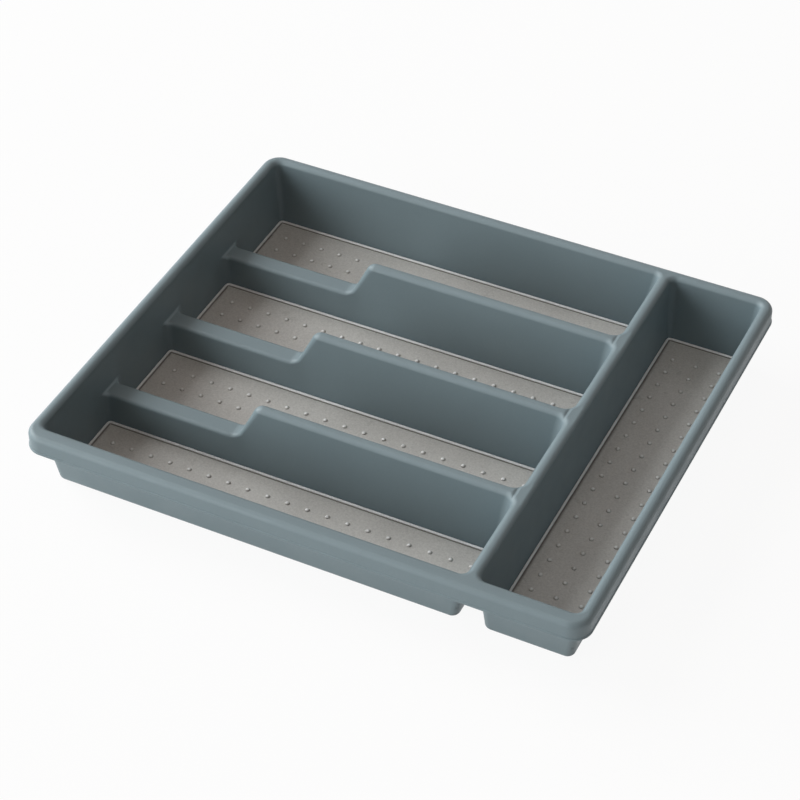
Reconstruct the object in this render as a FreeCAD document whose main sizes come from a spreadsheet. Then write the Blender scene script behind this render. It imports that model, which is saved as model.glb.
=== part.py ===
import FreeCAD, Part
import math
import os

import Sketcher
from FreeCAD import Vector

# Five-compartment cutlery tray: one moulded shell, a soft liner in each compartment and non-slip feet.
# Frame: millimetres, +X to the right along the rows, +Y to the back, +Z up, origin under the middle.

SIZES = {
    # Outside of the shell
    "overall_length": 377.6,
    "overall_width": 328.6,
    "overall_height": 53.0,
    "rim_corner_radius": 13.0,
    "rim_rounding": 3.8,
    "skirt_depth": 13.0,
    "skirt_thickness": 2.0,
    "lip_proud": 0.5,
    "lip_height": 1.6,
    # Walls of the shell
    "deck_thickness": 2.2,
    "wall_thickness": 2.0,
    "floor_thickness": 1.8,
    "rim_width": 8.25,
    "front_rim_width": 11.85,
    "divider_width": 7.5,
    "side_width": 64.0,
    "wall_lean": 3.5,
    "front_lean": 10.5,
    "right_lean": 8.2,
    "row_end_lean": 11.3,
    "side_left_lean": 2.2,
    "cavity_corner_radius": 5.0,
    "floor_corner_radius": 3.0,
    # Low stretch of each row divider, with its S-curve up to full height
    "dip_length": 116.5,
    "dip_depth": 26.0,
    "dip_radius": 8.0,
    "dip_angle": 65.0,
    "dip_runout": 0.2,
    # Soft liners with a raised edge bead and raised dots
    "liner_thickness": 1.2,
    "liner_clearance": 0.2,
    "bead_width": 1.6,
    "bead_height": 0.5,
    "dot_diameter": 3.0,
    "dot_height": 1.0,
    "dot_root": 0.3,
    "row_dot_left_margin": 13.9,
    "row_dot_right_margin": 15.2,
    "row_dot_side_margin": 17.9,
    "side_dot_front_margin": 17.4,
    "side_dot_back_margin": 21.0,
    "side_dot_left_margin": 10.7,
    "side_dot_right_margin": 13.7,
    # Feet in shallow seats under the tubs
    "foot_diameter": 13.0,
    "foot_height": 1.0,
    "foot_seat_depth": 0.6,
    "foot_clearance": 0.15,
    "foot_rounding": 0.4,
    "foot_margin": 16.0,
    # How far a cut runs past the face that it opens
    "overrun": 2.0,
}

ROW_COUNT = 4
DIVIDER_COUNT = ROW_COUNT - 1
ROW_NAMES = ("back_row", "second_row", "third_row", "front_row")
ROW_DOT_COUNTS = (19, 3)
SIDE_DOT_COUNTS = (3, 20)

HALF_SHARE = 0.5
# Part of the wall's thickness that the panel behind a dip fills
PANEL_SHARE = 0.9

doc = FreeCAD.newDocument("cutlery_tray")


def make_sheet():
    """Keep the driving dimensions in a spreadsheet, one alias to a row."""
    sheet = doc.addObject("Spreadsheet::Sheet", "Sizes")
    for row, (alias, value) in enumerate(SIZES.items(), start=1):
        sheet.set(f"A{row}", alias)
        sheet.set(f"B{row}", str(value))
        sheet.setAlias(f"B{row}", alias)
    doc.recompute()
    return sheet


class Size:
    """A length that carries its present value and the expression that ties it to the sheet."""

    def __init__(self, value, expression):
        self.value = value
        self.expression = expression

    def __add__(self, other):
        return Size(self.value + other.value, f"({self.expression} + {other.expression})")

    def __sub__(self, other):
        return Size(self.value - other.value, f"({self.expression} - {other.expression})")

    def __mul__(self, factor):
        return Size(self.value * factor, f"({self.expression} * {factor})")

    def __truediv__(self, other):
        return Size(self.value / other.value, f"({self.expression} / {other.expression})")

    def __neg__(self):
        return Size(-self.value, f"(-{self.expression})")

    def scaled_by(self, ratio):
        """This length times a ratio of two others."""
        return Size(self.value * ratio.value, f"({self.expression} * {ratio.expression})")


def size(alias):
    """The sheet's value for one alias, with its expression."""
    return Size(SIZES[alias], f"Sizes.{alias}")


ZERO = Size(0.0, "0")


class Box:
    """Plan rectangle given by its four sides."""

    def __init__(self, left, right, front, back):
        self.left = left
        self.right = right
        self.front = front
        self.back = back

    def inset(self, left, right, front, back):
        return Box(self.left + left, self.right - right, self.front + front, self.back - back)

    def shrunk(self, amount):
        return self.inset(amount, amount, amount, amount)


make_sheet()

TOP = size("overall_height")
DECK_UNDER = TOP - size("deck_thickness")
FLOOR_UNDER = size("foot_height")
FLOOR_TOP = FLOOR_UNDER + size("floor_thickness")
LINER_TOP = FLOOR_TOP + size("liner_thickness")
LAND = TOP - size("dip_depth")
CAVITY_DEPTH = TOP - FLOOR_TOP

OUTER = Box(
    -size("overall_length") * HALF_SHARE,
    size("overall_length") * HALF_SHARE,
    -size("overall_width") * HALF_SHARE,
    size("overall_width") * HALF_SHARE,
)
RIM_INSIDE = OUTER.inset(size("rim_width"), size("rim_width"), size("front_rim_width"), size("rim_width"))
SIDE_LEFT = RIM_INSIDE.right - size("side_width")
ROW_RIGHT = SIDE_LEFT - size("divider_width")
DIVIDERS_TOGETHER = size("divider_width") * DIVIDER_COUNT
ROW_WIDTH = (RIM_INSIDE.back - RIM_INSIDE.front - DIVIDERS_TOGETHER) * (1 / ROW_COUNT)
ROW_PITCH = ROW_WIDTH + size("divider_width")
DIVIDER_SPAN = ROW_PITCH * (DIVIDER_COUNT - 1)


class Compartment:
    """One cavity: its mouth at the rim and its foot at the floor."""

    def __init__(self, name, mouth, left_lean, right_lean, front_lean):
        lean = size("wall_lean")
        self.name = name
        self.mouth = mouth
        self.foot = mouth.inset(left_lean, right_lean, front_lean, lean)
        # The foot that even walls would leave, which sets the dots' pitch
        self.even_foot = mouth.shrunk(lean)


def make_compartments():
    """The rows from back to front, then the side compartment."""
    compartments = []
    for index, name in enumerate(ROW_NAMES):
        back = RIM_INSIDE.back - ROW_PITCH * index
        mouth = Box(RIM_INSIDE.left, ROW_RIGHT, back - ROW_WIDTH, back)
        front_lean = size("front_lean" if index == ROW_COUNT - 1 else "wall_lean")
        compartments.append(Compartment(name, mouth, size("wall_lean"), size("row_end_lean"), front_lean))
    side_mouth = Box(SIDE_LEFT, RIM_INSIDE.right, RIM_INSIDE.front, RIM_INSIDE.back)
    side_leans = (size("side_left_lean"), size("right_lean"), size("front_lean"))
    compartments.append(Compartment("side", side_mouth, *side_leans))
    return compartments


COMPARTMENTS = make_compartments()


def origin_feature(body, role):
    """The body's own origin plane or axis with this role."""
    for feature in body.Origin.OriginFeatures:
        if feature.Role == role:
            return feature
    raise ValueError(f"no {role} in {body.Label}")


def new_sketch(body, name, role, offset):
    """Empty sketch on one of the body's origin planes, moved along the plane's normal."""
    sketch = body.newObject("Sketcher::SketchObject", name)
    sketch.AttachmentSupport = (origin_feature(body, role), [""])
    sketch.MapMode = "FlatFace"
    sketch.setExpression("AttachmentOffset.Base.z", offset.expression)
    return sketch


def dimension(sketch, constraint, length):
    """Add a driving dimension bound to the sheet."""
    index = sketch.addConstraint(constraint)
    sketch.setExpression(f"Constraints[{index}]", length.expression)


def place_point(sketch, geometry, point, x=None, y=None):
    """Hold a point at its distances from the sketch origin."""
    if x is not None:
        dimension(sketch, Sketcher.Constraint("DistanceX", -1, 1, geometry, point, x.value), x)
    if y is not None:
        dimension(sketch, Sketcher.Constraint("DistanceY", -1, 1, geometry, point, y.value), y)


def corner_arc(x, y, radius, start):
    """Quarter circle that starts at the given angle in degrees."""
    circle = Part.Circle(Vector(x, y, 0), Vector(0, 0, 1), radius)
    return Part.ArcOfCircle(circle, math.radians(start), math.radians(start + 90))


def draw_rounded_rectangle(sketch, box, radius):
    """Rectangle with four equal corner arcs, drawn anticlockwise from the front side."""
    x0, x1 = box.left.value, box.right.value
    y0, y1 = box.front.value, box.back.value
    r = radius.value
    first = sketch.GeometryCount
    corners = (
        (x0 + r, y0, x1 - r, y0, x1 - r, y0 + r, 270),
        (x1, y0 + r, x1, y1 - r, x1 - r, y1 - r, 0),
        (x1 - r, y1, x0 + r, y1, x0 + r, y1 - r, 90),
        (x0, y1 - r, x0, y0 + r, x0 + r, y0 + r, 180),
    )
    for start_x, start_y, end_x, end_y, centre_x, centre_y, angle in corners:
        sketch.addGeometry(Part.LineSegment(Vector(start_x, start_y, 0), Vector(end_x, end_y, 0)))
        sketch.addGeometry(corner_arc(centre_x, centre_y, r, angle))
    front, front_arc, right, right_arc, back, back_arc, left, left_arc = range(first, first + 8)
    ring = (front, front_arc, right, right_arc, back, back_arc, left, left_arc, front)
    for piece, follower in zip(ring, ring[1:]):
        sketch.addConstraint(Sketcher.Constraint("Tangent", piece, 2, follower, 1))
    for line in (front, back):
        sketch.addConstraint(Sketcher.Constraint("Horizontal", line))
    for line in (right, left):
        sketch.addConstraint(Sketcher.Constraint("Vertical", line))
    for arc in (right_arc, back_arc, left_arc):
        sketch.addConstraint(Sketcher.Constraint("Equal", front_arc, arc))
    dimension(sketch, Sketcher.Constraint("Radius", front_arc, r), radius)
    place_point(sketch, front, 1, y=box.front)
    place_point(sketch, back, 1, y=box.back)
    place_point(sketch, left, 1, x=box.left)
    place_point(sketch, right, 1, x=box.right)


def rounded_rectangle(body, name, level, box, radius):
    sketch = new_sketch(body, name, "XY_Plane", level)
    draw_rounded_rectangle(sketch, box, radius)
    return sketch


def pad(body, name, sketch, length):
    """Raise a sketch along its normal."""
    feature = body.newObject("PartDesign::Pad", name)
    feature.Profile = sketch
    feature.setExpression("Length", length.expression)
    return feature


def ring_pad(body, name, level, height, box, radius, width):
    """Raised band of even width that follows a rounded rectangle."""
    sketch = rounded_rectangle(body, f"{name}_sketch", level, box, radius)
    draw_rounded_rectangle(sketch, box.shrunk(width), radius - width)
    return pad(body, name, sketch, height)


def loft(body, kind, name, low, high):
    """Straight-walled loft between two level sketches."""
    feature = body.newObject(f"PartDesign::{kind}", name)
    feature.Profile = low
    feature.Sections = [(high, [""])]
    feature.Ruled = True
    return feature


def pattern(body, name, original, directions):
    """Copies of a feature spread evenly over spans along one or two of the body's axes."""
    feature = body.newObject("PartDesign::LinearPattern", name)
    feature.Originals = [original]
    for suffix, (axis, count, span, backwards) in zip(("", "2"), directions):
        setattr(feature, f"Direction{suffix}", (origin_feature(body, axis), [""]))
        setattr(feature, f"Mode{suffix}", "Extent")
        setattr(feature, f"Occurrences{suffix}", count)
        setattr(feature, f"Reversed{suffix}", backwards)
        feature.setExpression(f"Length{suffix}", span.expression)
    body.Tip = feature
    return feature


def new_body(name):
    body = doc.addObject("PartDesign::Body", name)
    body.Label = name
    return body


class DipCurve:
    """Side view of a dip: wall line, low land, arc, slope, arc and the mouth above."""

    def __init__(self, below, wall_shift, mouth_height):
        self.land = LAND - below
        self.low_radius = size("dip_radius") + below
        self.high_radius = size("dip_radius") - below
        self.end_x = RIM_INSIDE.left + size("dip_length")
        # The upper arc runs out just above the deck, so that it crosses the deck at a small angle
        self.end_z = TOP + size("dip_runout") - below
        self.mouth_z = self.end_z + mouth_height
        self.wall_low_x = self.wall_x(self.land) - wall_shift
        self.wall_high_x = self.wall_x(self.mouth_z) - wall_shift

    def wall_x(self, level):
        """Where the left wall's inner plane stands at a height."""
        return RIM_INSIDE.left + size("wall_lean").scaled_by((TOP - level) / CAVITY_DEPTH)


def dip_sketch(body, name, curve):
    """Draw a dip's side view on the plane through the first row divider."""
    divider_y = RIM_INSIDE.back - ROW_WIDTH - size("divider_width") * HALF_SHARE
    sketch = new_sketch(body, name, "XZ_Plane", -divider_y)
    angle = math.radians(SIZES["dip_angle"])
    low, high = curve.low_radius.value, curve.high_radius.value
    land, end_x, end_z = curve.land.value, curve.end_x.value, curve.end_z.value
    high_x = end_x - high * math.sin(angle)
    high_z = end_z - high * (1 - math.cos(angle))
    low_z = land + low * (1 - math.cos(angle))
    low_x = high_x - (high_z - low_z) / math.tan(angle)
    start_x = low_x - low * math.sin(angle)
    mouth_z = curve.mouth_z.value
    wall_low = Vector(curve.wall_low_x.value, land, 0)
    wall_high = Vector(curve.wall_high_x.value, mouth_z, 0)
    low_circle = Part.Circle(Vector(start_x, land + low, 0), Vector(0, 0, 1), low)
    high_circle = Part.Circle(Vector(end_x, end_z - high, 0), Vector(0, 0, 1), high)
    quarter = math.radians(90)
    wall, floor, low_arc, slope, high_arc, rise, mouth = range(7)
    sketch.addGeometry(Part.LineSegment(wall_high, wall_low))
    sketch.addGeometry(Part.LineSegment(wall_low, Vector(start_x, land, 0)))
    sketch.addGeometry(Part.ArcOfCircle(low_circle, -quarter, angle - quarter))
    sketch.addGeometry(Part.LineSegment(Vector(low_x, low_z, 0), Vector(high_x, high_z, 0)))
    sketch.addGeometry(Part.ArcOfCircle(high_circle, quarter, quarter + angle))
    sketch.addGeometry(Part.LineSegment(Vector(end_x, end_z, 0), Vector(end_x, mouth_z, 0)))
    sketch.addGeometry(Part.LineSegment(Vector(end_x, mouth_z, 0), wall_high))
    sketch.addConstraint(Sketcher.Constraint("Coincident", wall, 2, floor, 1))
    sketch.addConstraint(Sketcher.Constraint("Tangent", floor, 2, low_arc, 1))
    sketch.addConstraint(Sketcher.Constraint("Tangent", low_arc, 2, slope, 1))
    sketch.addConstraint(Sketcher.Constraint("Tangent", slope, 2, high_arc, 2))
    sketch.addConstraint(Sketcher.Constraint("Coincident", high_arc, 1, rise, 1))
    sketch.addConstraint(Sketcher.Constraint("Coincident", rise, 2, mouth, 1))
    sketch.addConstraint(Sketcher.Constraint("Coincident", mouth, 2, wall, 1))
    sketch.addConstraint(Sketcher.Constraint("Horizontal", floor))
    sketch.addConstraint(Sketcher.Constraint("Horizontal", mouth))
    sketch.addConstraint(Sketcher.Constraint("Vertical", rise))
    sketch.addConstraint(Sketcher.Constraint("Vertical", high_arc, 3, high_arc, 1))
    dimension(sketch, Sketcher.Constraint("Radius", low_arc, low), curve.low_radius)
    dimension(sketch, Sketcher.Constraint("Radius", high_arc, high), curve.high_radius)
    slope_angle = Size(angle, "Sizes.dip_angle * 1 deg")
    dimension(sketch, Sketcher.Constraint("Angle", slope, angle), slope_angle)
    place_point(sketch, wall, 2, x=curve.wall_low_x, y=curve.land)
    place_point(sketch, wall, 1, x=curve.wall_high_x)
    place_point(sketch, high_arc, 1, x=curve.end_x, y=curve.end_z)
    place_point(sketch, rise, 2, y=curve.mouth_z)
    return sketch


def foot_places():
    """Centres of the feet, near the ends of the outer tubs."""
    margin = size("foot_margin")
    back, front, side = COMPARTMENTS[0].foot, COMPARTMENTS[ROW_COUNT - 1].foot, COMPARTMENTS[-1].foot
    places = []
    for row in (back, front):
        middle = (row.front + row.back) * HALF_SHARE
        places.append((row.left + margin, middle))
        places.append((row.right - margin, middle))
    middle = (side.left + side.right) * HALF_SHARE
    places.append((middle, side.back - margin))
    places.append((middle, side.front + margin))
    return places


FOOT_NAMES = (
    "foot_back_left",
    "foot_back_middle",
    "foot_front_left",
    "foot_front_middle",
    "foot_back_right",
    "foot_front_right",
)


def draw_circle(sketch, x, y, diameter):
    """Circle held by its centre and diameter."""
    index = sketch.addGeometry(
        Part.Circle(Vector(x.value, y.value, 0), Vector(0, 0, 1), diameter.value * HALF_SHARE)
    )
    dimension(sketch, Sketcher.Constraint("Diameter", index, diameter.value), diameter)
    place_point(sketch, index, 3, x=x, y=y)


def add_tubs(body):
    """Drafted outside of every compartment, up to the deck."""
    wall = size("wall_thickness")
    for compartment in COMPARTMENTS:
        name = compartment.name
        low = rounded_rectangle(
            body,
            f"{name}_tub_low",
            FLOOR_UNDER,
            compartment.foot.shrunk(-wall),
            size("floor_corner_radius") + wall,
        )
        high = rounded_rectangle(
            body,
            f"{name}_tub_high",
            TOP - size("deck_thickness") * HALF_SHARE,
            compartment.mouth.shrunk(-wall),
            size("cavity_corner_radius") + wall,
        )
        loft(body, "AdditiveLoft", f"{name}_tub", low, high)


def cut_cavities(body):
    """Drafted inside of every compartment, open past the top."""
    over = size("overrun")
    for compartment in COMPARTMENTS:
        name = compartment.name
        foot, mouth = compartment.foot, compartment.mouth
        low = rounded_rectangle(
            body, f"{name}_cavity_low", FLOOR_TOP, foot, size("floor_corner_radius")
        )
        past = over / CAVITY_DEPTH
        above = Box(
            mouth.left - (foot.left - mouth.left).scaled_by(past),
            mouth.right + (mouth.right - foot.right).scaled_by(past),
            mouth.front - (foot.front - mouth.front).scaled_by(past),
            mouth.back + (mouth.back - foot.back).scaled_by(past),
        )
        high = rounded_rectangle(
            body, f"{name}_cavity_high", TOP + over, above, size("cavity_corner_radius")
        )
        loft(body, "SubtractiveLoft", f"{name}_cavity", low, high)


def add_dip_saddles(body):
    """Stock in the hollow dividers that becomes the low lands and the panel at their left end."""
    thick = size("deck_thickness")
    panel = size("wall_thickness") * PANEL_SHARE
    curve = DipCurve(thick, panel, thick * HALF_SHARE)
    sketch = dip_sketch(body, "dip_saddle_sketch", curve)
    saddle = pad(body, "dip_saddle", sketch, size("divider_width") + size("wall_lean") * 2)
    saddle.SideType = "Symmetric"
    pattern(body, "dip_saddles", saddle, [("Y_Axis", DIVIDER_COUNT, DIVIDER_SPAN, True)])


def cut_dips(body):
    """Lower each row divider from the left wall to its S-curve."""
    curve = DipCurve(ZERO, ZERO, size("overrun"))
    sketch = dip_sketch(body, "dip_sketch", curve)
    dip = body.newObject("PartDesign::Pocket", "dip")
    dip.Profile = sketch
    dip.SideType = "Symmetric"
    reach = size("wall_lean") * 2 + size("cavity_corner_radius") * 4
    dip.setExpression("Length", (size("divider_width") + reach).expression)
    pattern(body, "dips", dip, [("Y_Axis", DIVIDER_COUNT, DIVIDER_SPAN, True)])


def cut_foot_seats(body):
    """Shallow round seats for the feet."""
    sketch = new_sketch(body, "foot_seat_sketch", "XY_Plane", FLOOR_UNDER)
    for x, y in foot_places():
        draw_circle(sketch, x, y, size("foot_diameter") + size("foot_clearance") * 2)
    seats = body.newObject("PartDesign::Pocket", "foot_seats")
    seats.Profile = sketch
    seats.Reversed = True
    seats.setExpression("Length", size("foot_seat_depth").expression)


def round_rim(body):
    """Round the rim's outer top edge."""
    doc.recompute()
    base = body.Tip
    far_x = (SIZES["overall_length"] - SIZES["rim_width"]) * HALF_SHARE
    far_y = (SIZES["overall_width"] - SIZES["rim_width"]) * HALF_SHARE
    deck_middle = SIZES["overall_height"] - SIZES["deck_thickness"] * HALF_SHARE
    edge_names = []
    for index, edge in enumerate(base.Shape.Edges, start=1):
        reach = edge.BoundBox
        outside = max(-reach.XMin, reach.XMax) > far_x or max(-reach.YMin, reach.YMax) > far_y
        if outside and reach.ZMin > deck_middle:
            edge_names.append(f"Edge{index}")
    rounding = body.newObject("PartDesign::Fillet", "rim_rounding")
    rounding.Base = (base, edge_names)
    rounding.setExpression("Radius", "Sizes.rim_rounding")
    print("rim edges rounded", len(edge_names))


def make_tray():
    """The moulded shell: deck, skirt with its lip, five tubs, hollow dividers and their dips."""
    body = new_body("tray_body")
    lip = size("lip_proud")
    rim = OUTER.shrunk(lip)
    rim_radius = size("rim_corner_radius") - lip
    deck = rounded_rectangle(body, "deck_sketch", DECK_UNDER, rim, rim_radius)
    pad(body, "deck", deck, size("deck_thickness"))
    skirt_low = TOP - size("skirt_depth")
    ring_pad(
        body,
        "skirt",
        skirt_low,
        size("skirt_depth") - size("deck_thickness") * HALF_SHARE,
        rim,
        rim_radius,
        size("skirt_thickness"),
    )
    ring_pad(
        body,
        "skirt_lip",
        skirt_low,
        size("lip_height"),
        OUTER,
        size("rim_corner_radius"),
        size("skirt_thickness"),
    )
    add_tubs(body)
    add_dip_saddles(body)
    cut_cavities(body)
    cut_dips(body)
    cut_foot_seats(body)
    round_rim(body)
    return body


def make_liner(compartment, counts, margins):
    """Soft liner that covers one floor, with an edge bead and a grid of dots inside the margins."""
    body = new_body(f"{compartment.name}_liner")
    clearance = size("liner_clearance")
    outline = compartment.foot.shrunk(clearance)
    radius = size("floor_corner_radius") - clearance
    sheet_sketch = rounded_rectangle(body, "sheet_sketch", FLOOR_TOP, outline, radius)
    pad(body, "soft_sheet", sheet_sketch, size("liner_thickness"))
    ring_pad(body, "bead", LINER_TOP, size("bead_height"), outline, radius, size("bead_width"))
    field = compartment.even_foot.inset(margins.left, margins.right, margins.front, margins.back)
    dot = add_dot(body, field.left, field.back)
    span_x = field.right - field.left
    span_y = field.back - field.front
    grid = [("X_Axis", counts[0], span_x, False), ("Y_Axis", counts[1], span_y, True)]
    pattern(body, "dots", dot, grid)
    return body


def add_dot(body, x, y):
    """Domed dot: a cap of a sphere, rooted a little in the sheet."""
    dot = body.newObject("PartDesign::AdditiveSphere", "dot")
    half = size("dot_diameter") * HALF_SHARE
    tall = size("dot_height")
    radius = (half.scaled_by(half / tall) + tall) * HALF_SHARE
    centre = LINER_TOP + tall - radius
    dot.setExpression("Radius", radius.expression)
    root = (radius - tall - size("dot_root")) / radius
    dot.setExpression("Angle1", f"asin({root.expression})")
    dot.AttachmentSupport = (origin_feature(body, "XY_Plane"), [""])
    dot.MapMode = "FlatFace"
    dot.setExpression("AttachmentOffset.Base.x", x.expression)
    dot.setExpression("AttachmentOffset.Base.y", y.expression)
    dot.setExpression("AttachmentOffset.Base.z", centre.expression)
    return dot


def make_foot(name, x, y):
    """Soft round foot that fills its seat and stands proud of the floor."""
    body = new_body(name)
    sketch = new_sketch(body, "foot_sketch", "XY_Plane", ZERO)
    draw_circle(sketch, x, y, size("foot_diameter"))
    button = pad(body, "button", sketch, size("foot_height") + size("foot_seat_depth"))
    doc.recompute()
    edge_names = []
    for index, edge in enumerate(button.Shape.Edges, start=1):
        if edge.BoundBox.ZMax < SIZES["foot_height"] * HALF_SHARE:
            edge_names.append(f"Edge{index}")
    rounding = body.newObject("PartDesign::Fillet", "foot_edge")
    rounding.Base = (button, edge_names)
    rounding.setExpression("Radius", "Sizes.foot_rounding")
    return body


def make_parts():
    parts = [make_tray()]
    sides = size("row_dot_side_margin")
    row_margins = Box(size("row_dot_left_margin"), size("row_dot_right_margin"), sides, sides)
    for compartment in COMPARTMENTS[:ROW_COUNT]:
        parts.append(make_liner(compartment, ROW_DOT_COUNTS, row_margins))
    side_margins = Box(
        size("side_dot_left_margin"),
        size("side_dot_right_margin"),
        size("side_dot_front_margin"),
        size("side_dot_back_margin"),
    )
    parts.append(make_liner(COMPARTMENTS[-1], SIDE_DOT_COUNTS, side_margins))
    for name, (x, y) in zip(FOOT_NAMES, foot_places()):
        parts.append(make_foot(name, x, y))
    doc.recompute()
    return parts


def check_document():
    """Stop if any object of the document failed."""
    for item in doc.Objects:
        if "Invalid" in item.State or "Error" in item.State:
            raise RuntimeError(f"{item.Label} failed: {item.State}")


def export(parts):
    """Check each sub-part's solid and write it to its own file."""
    for part in parts:
        shape = part.Shape
        if shape.isNull() or not shape.isValid() or len(shape.Solids) != 1:
            raise RuntimeError(f"{part.Label} has no single valid solid")
    os.makedirs("parts", exist_ok=True)
    for part in parts:
        part.Shape.exportStep(f"parts/{part.Label}.step")
        box = part.Shape.BoundBox
        print(
            f"{part.Label:20s} volume {part.Shape.Volume:10.1f}"
            f" x {box.XMin:8.2f} {box.XMax:8.2f} y {box.YMin:8.2f} {box.YMax:8.2f}"
            f" z {box.ZMin:6.2f} {box.ZMax:6.2f}"
        )


PARTS = make_parts()
check_document()
export(PARTS)
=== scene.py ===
# %% [markdown]
# # A moulded cutlery tray with soft mats
# The real object is one injection-moulded shell in blue-grey polypropylene. It has four long rows, one tall
# side compartment, rounded dividers that dip at their left ends, and a short skirt around the outside.
# Each floor carries a warm grey rubber mat with a raised edge and a field of small dots.
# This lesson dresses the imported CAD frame: it builds the soft roundings of the shell, the mats, the feet
# and their finishes, and then sets up a plain studio.

# %% Load the frame
import math

import bmesh
import bpy
import numpy as np
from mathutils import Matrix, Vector


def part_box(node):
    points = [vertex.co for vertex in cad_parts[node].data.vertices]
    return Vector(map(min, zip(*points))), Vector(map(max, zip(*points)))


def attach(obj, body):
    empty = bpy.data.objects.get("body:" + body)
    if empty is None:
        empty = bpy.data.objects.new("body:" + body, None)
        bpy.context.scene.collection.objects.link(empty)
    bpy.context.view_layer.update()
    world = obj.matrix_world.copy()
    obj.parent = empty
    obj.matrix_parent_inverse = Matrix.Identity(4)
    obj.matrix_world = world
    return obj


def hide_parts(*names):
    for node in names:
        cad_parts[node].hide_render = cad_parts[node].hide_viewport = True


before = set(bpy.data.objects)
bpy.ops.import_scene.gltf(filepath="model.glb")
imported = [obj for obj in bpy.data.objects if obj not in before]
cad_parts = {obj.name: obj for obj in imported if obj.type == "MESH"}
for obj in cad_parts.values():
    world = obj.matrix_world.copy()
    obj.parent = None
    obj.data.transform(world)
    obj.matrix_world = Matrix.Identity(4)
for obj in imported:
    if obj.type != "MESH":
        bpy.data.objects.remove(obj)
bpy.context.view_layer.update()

MM = 0.001

# %% [markdown]
# ## Measures
# The outside box, the mats and the feet are read from the frame, so the looks stay where the CAD put things.
# The remaining sizes repeat the tray's own drawing in millimetres: wall thicknesses, leans and roundings.

# %% Sizes of the shell in millimetres
HALF_LENGTH, HALF_WIDTH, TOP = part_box("tray_body")[1] / MM
LIP_PROUD = 0.5
LIP_HEIGHT = 1.6
RIM_WIDTH = 8.25
FRONT_RIM_WIDTH = 11.85
DIVIDER_WIDTH = 7.5
WALL_LEAN = 3.5
ROW_END_LEAN = 11.3
MAT_CLEARANCE = 0.2
ROW_MATS = ("back_row_liner", "second_row_liner", "third_row_liner", "front_row_liner")
SIDE_MAT = "side_liner"


def mat_outline(node):
    """Left, right, front and back edge of a mat, with the height of its underside."""
    low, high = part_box(node)
    return [v / MM for v in (low.x, high.x, low.y, high.y, low.z)]


rows = [mat_outline(node) for node in ROW_MATS]
side = mat_outline(SIDE_MAT)
FLOOR = side[4]
ROW_FOOT = (rows[0][0], rows[0][1], rows[-1][2], rows[0][3])
FEET_OF_TUBS = [
    [edge + sign * MAT_CLEARANCE for edge, sign in zip(foot, (-1, 1, -1, 1))]
    for foot in (ROW_FOOT, side[:4])
]
RIM_INSIDE = (
    RIM_WIDTH - HALF_LENGTH, HALF_LENGTH - RIM_WIDTH, FRONT_RIM_WIDTH - HALF_WIDTH, HALF_WIDTH - RIM_WIDTH,
)
ROW_END = FEET_OF_TUBS[0][1] + ROW_END_LEAN
MOUTHS_OF_TUBS = [
    (RIM_INSIDE[0], ROW_END, RIM_INSIDE[2], RIM_INSIDE[3]),
    (ROW_END + DIVIDER_WIDTH, RIM_INSIDE[1], RIM_INSIDE[2], RIM_INSIDE[3]),
]
RIDGES = [(near[2] + far[3]) / 2 for near, far in zip(rows, rows[1:])]
print("floor at", round(FLOOR, 2), "and row end at", round(ROW_END, 2))
print("dividers at", [round(y, 2) for y in RIDGES])

# %% [markdown]
# ## Rounded joins
# A moulded part has no sharp corner anywhere. Bevelling a mesh edge by edge fails where three roundings meet,
# such as a divider running into a wall. Here each surface is a signed distance, negative inside the plastic,
# and two helpers join such distances with a round of a given radius. The corners then blend by themselves.


# %% Two ways to join two distances
def round_join(a, b, radius):
    """Both solids together, with a hollow round where they meet."""
    near = np.hypot(np.maximum(radius - a, 0), np.maximum(radius - b, 0))
    return np.maximum(radius, np.minimum(a, b)) - near


def round_corner(a, b, radius):
    """What both solids share, with a full round along the shared edge."""
    near = np.hypot(np.maximum(radius + a, 0), np.maximum(radius + b, 0))
    return np.minimum(-radius, np.maximum(a, b)) + near


def ease(share):
    """A soft step from 0 to 1."""
    share = np.clip(share, 0, 1)
    return share * share * (3 - 2 * share)


print("a 3 mm round takes", round(float(round_corner(0.0, 0.0, 3.0)), 2), "mm off a square edge")

# %% [markdown]
# ## Plan of the walls
# Each hollow is a rounded rectangle that shrinks towards the floor, because the moulder needs draft to
# release the part. The front wall and the right ends lean in more than the others. The three row dividers
# are ridges that grow thicker towards the floor by the same draft.

# %% Hollows and ridges
MOUTH_CORNER = 5.0
FOOT_CORNER = 3.0
RIM_CORNER = 12.5
RIDGE_ROOT = 1.0
JOIN_AT_RIM = 8.0
JOIN_AT_FLOOR = 3.0
LAND = 26.6
SADDLE_SPREAD = 1.2
SADDLE_END = -74.0
SADDLE_RUN = 16.0
SHARE_REACH = 0.1


def depth_share(z):
    """0 at the rim and 1 at the floor, and a little past both."""
    return np.clip((TOP - z) / (TOP - FLOOR), -SHARE_REACH, 1 + SHARE_REACH)


def rounded_plan(x, y, edges, radius):
    """Distance to a rounded rectangle, negative inside it."""
    left, right, front, back = edges
    across = np.abs(x - (left + right) / 2) - (right - left) / 2 + radius
    along = np.abs(y - (front + back) / 2) - (back - front) / 2 + radius
    outside = np.hypot(np.maximum(across, 0), np.maximum(along, 0))
    return outside + np.minimum(np.maximum(across, along), 0) - radius


def corner_at(share):
    """Radius of the upright corners of a hollow at a share of its depth."""
    return MOUTH_CORNER + (FOOT_CORNER - MOUTH_CORNER) * share


def hollow(x, y, z):
    """Distance to the nearer of the two big hollows, negative inside it."""
    share = depth_share(z)
    plans = []
    for mouth, foot in zip(MOUTHS_OF_TUBS, FEET_OF_TUBS):
        edges = [m + (f - m) * share for m, f in zip(mouth, foot)]
        plans.append(rounded_plan(x, y, edges, corner_at(share)))
    return np.minimum(*plans)


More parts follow.
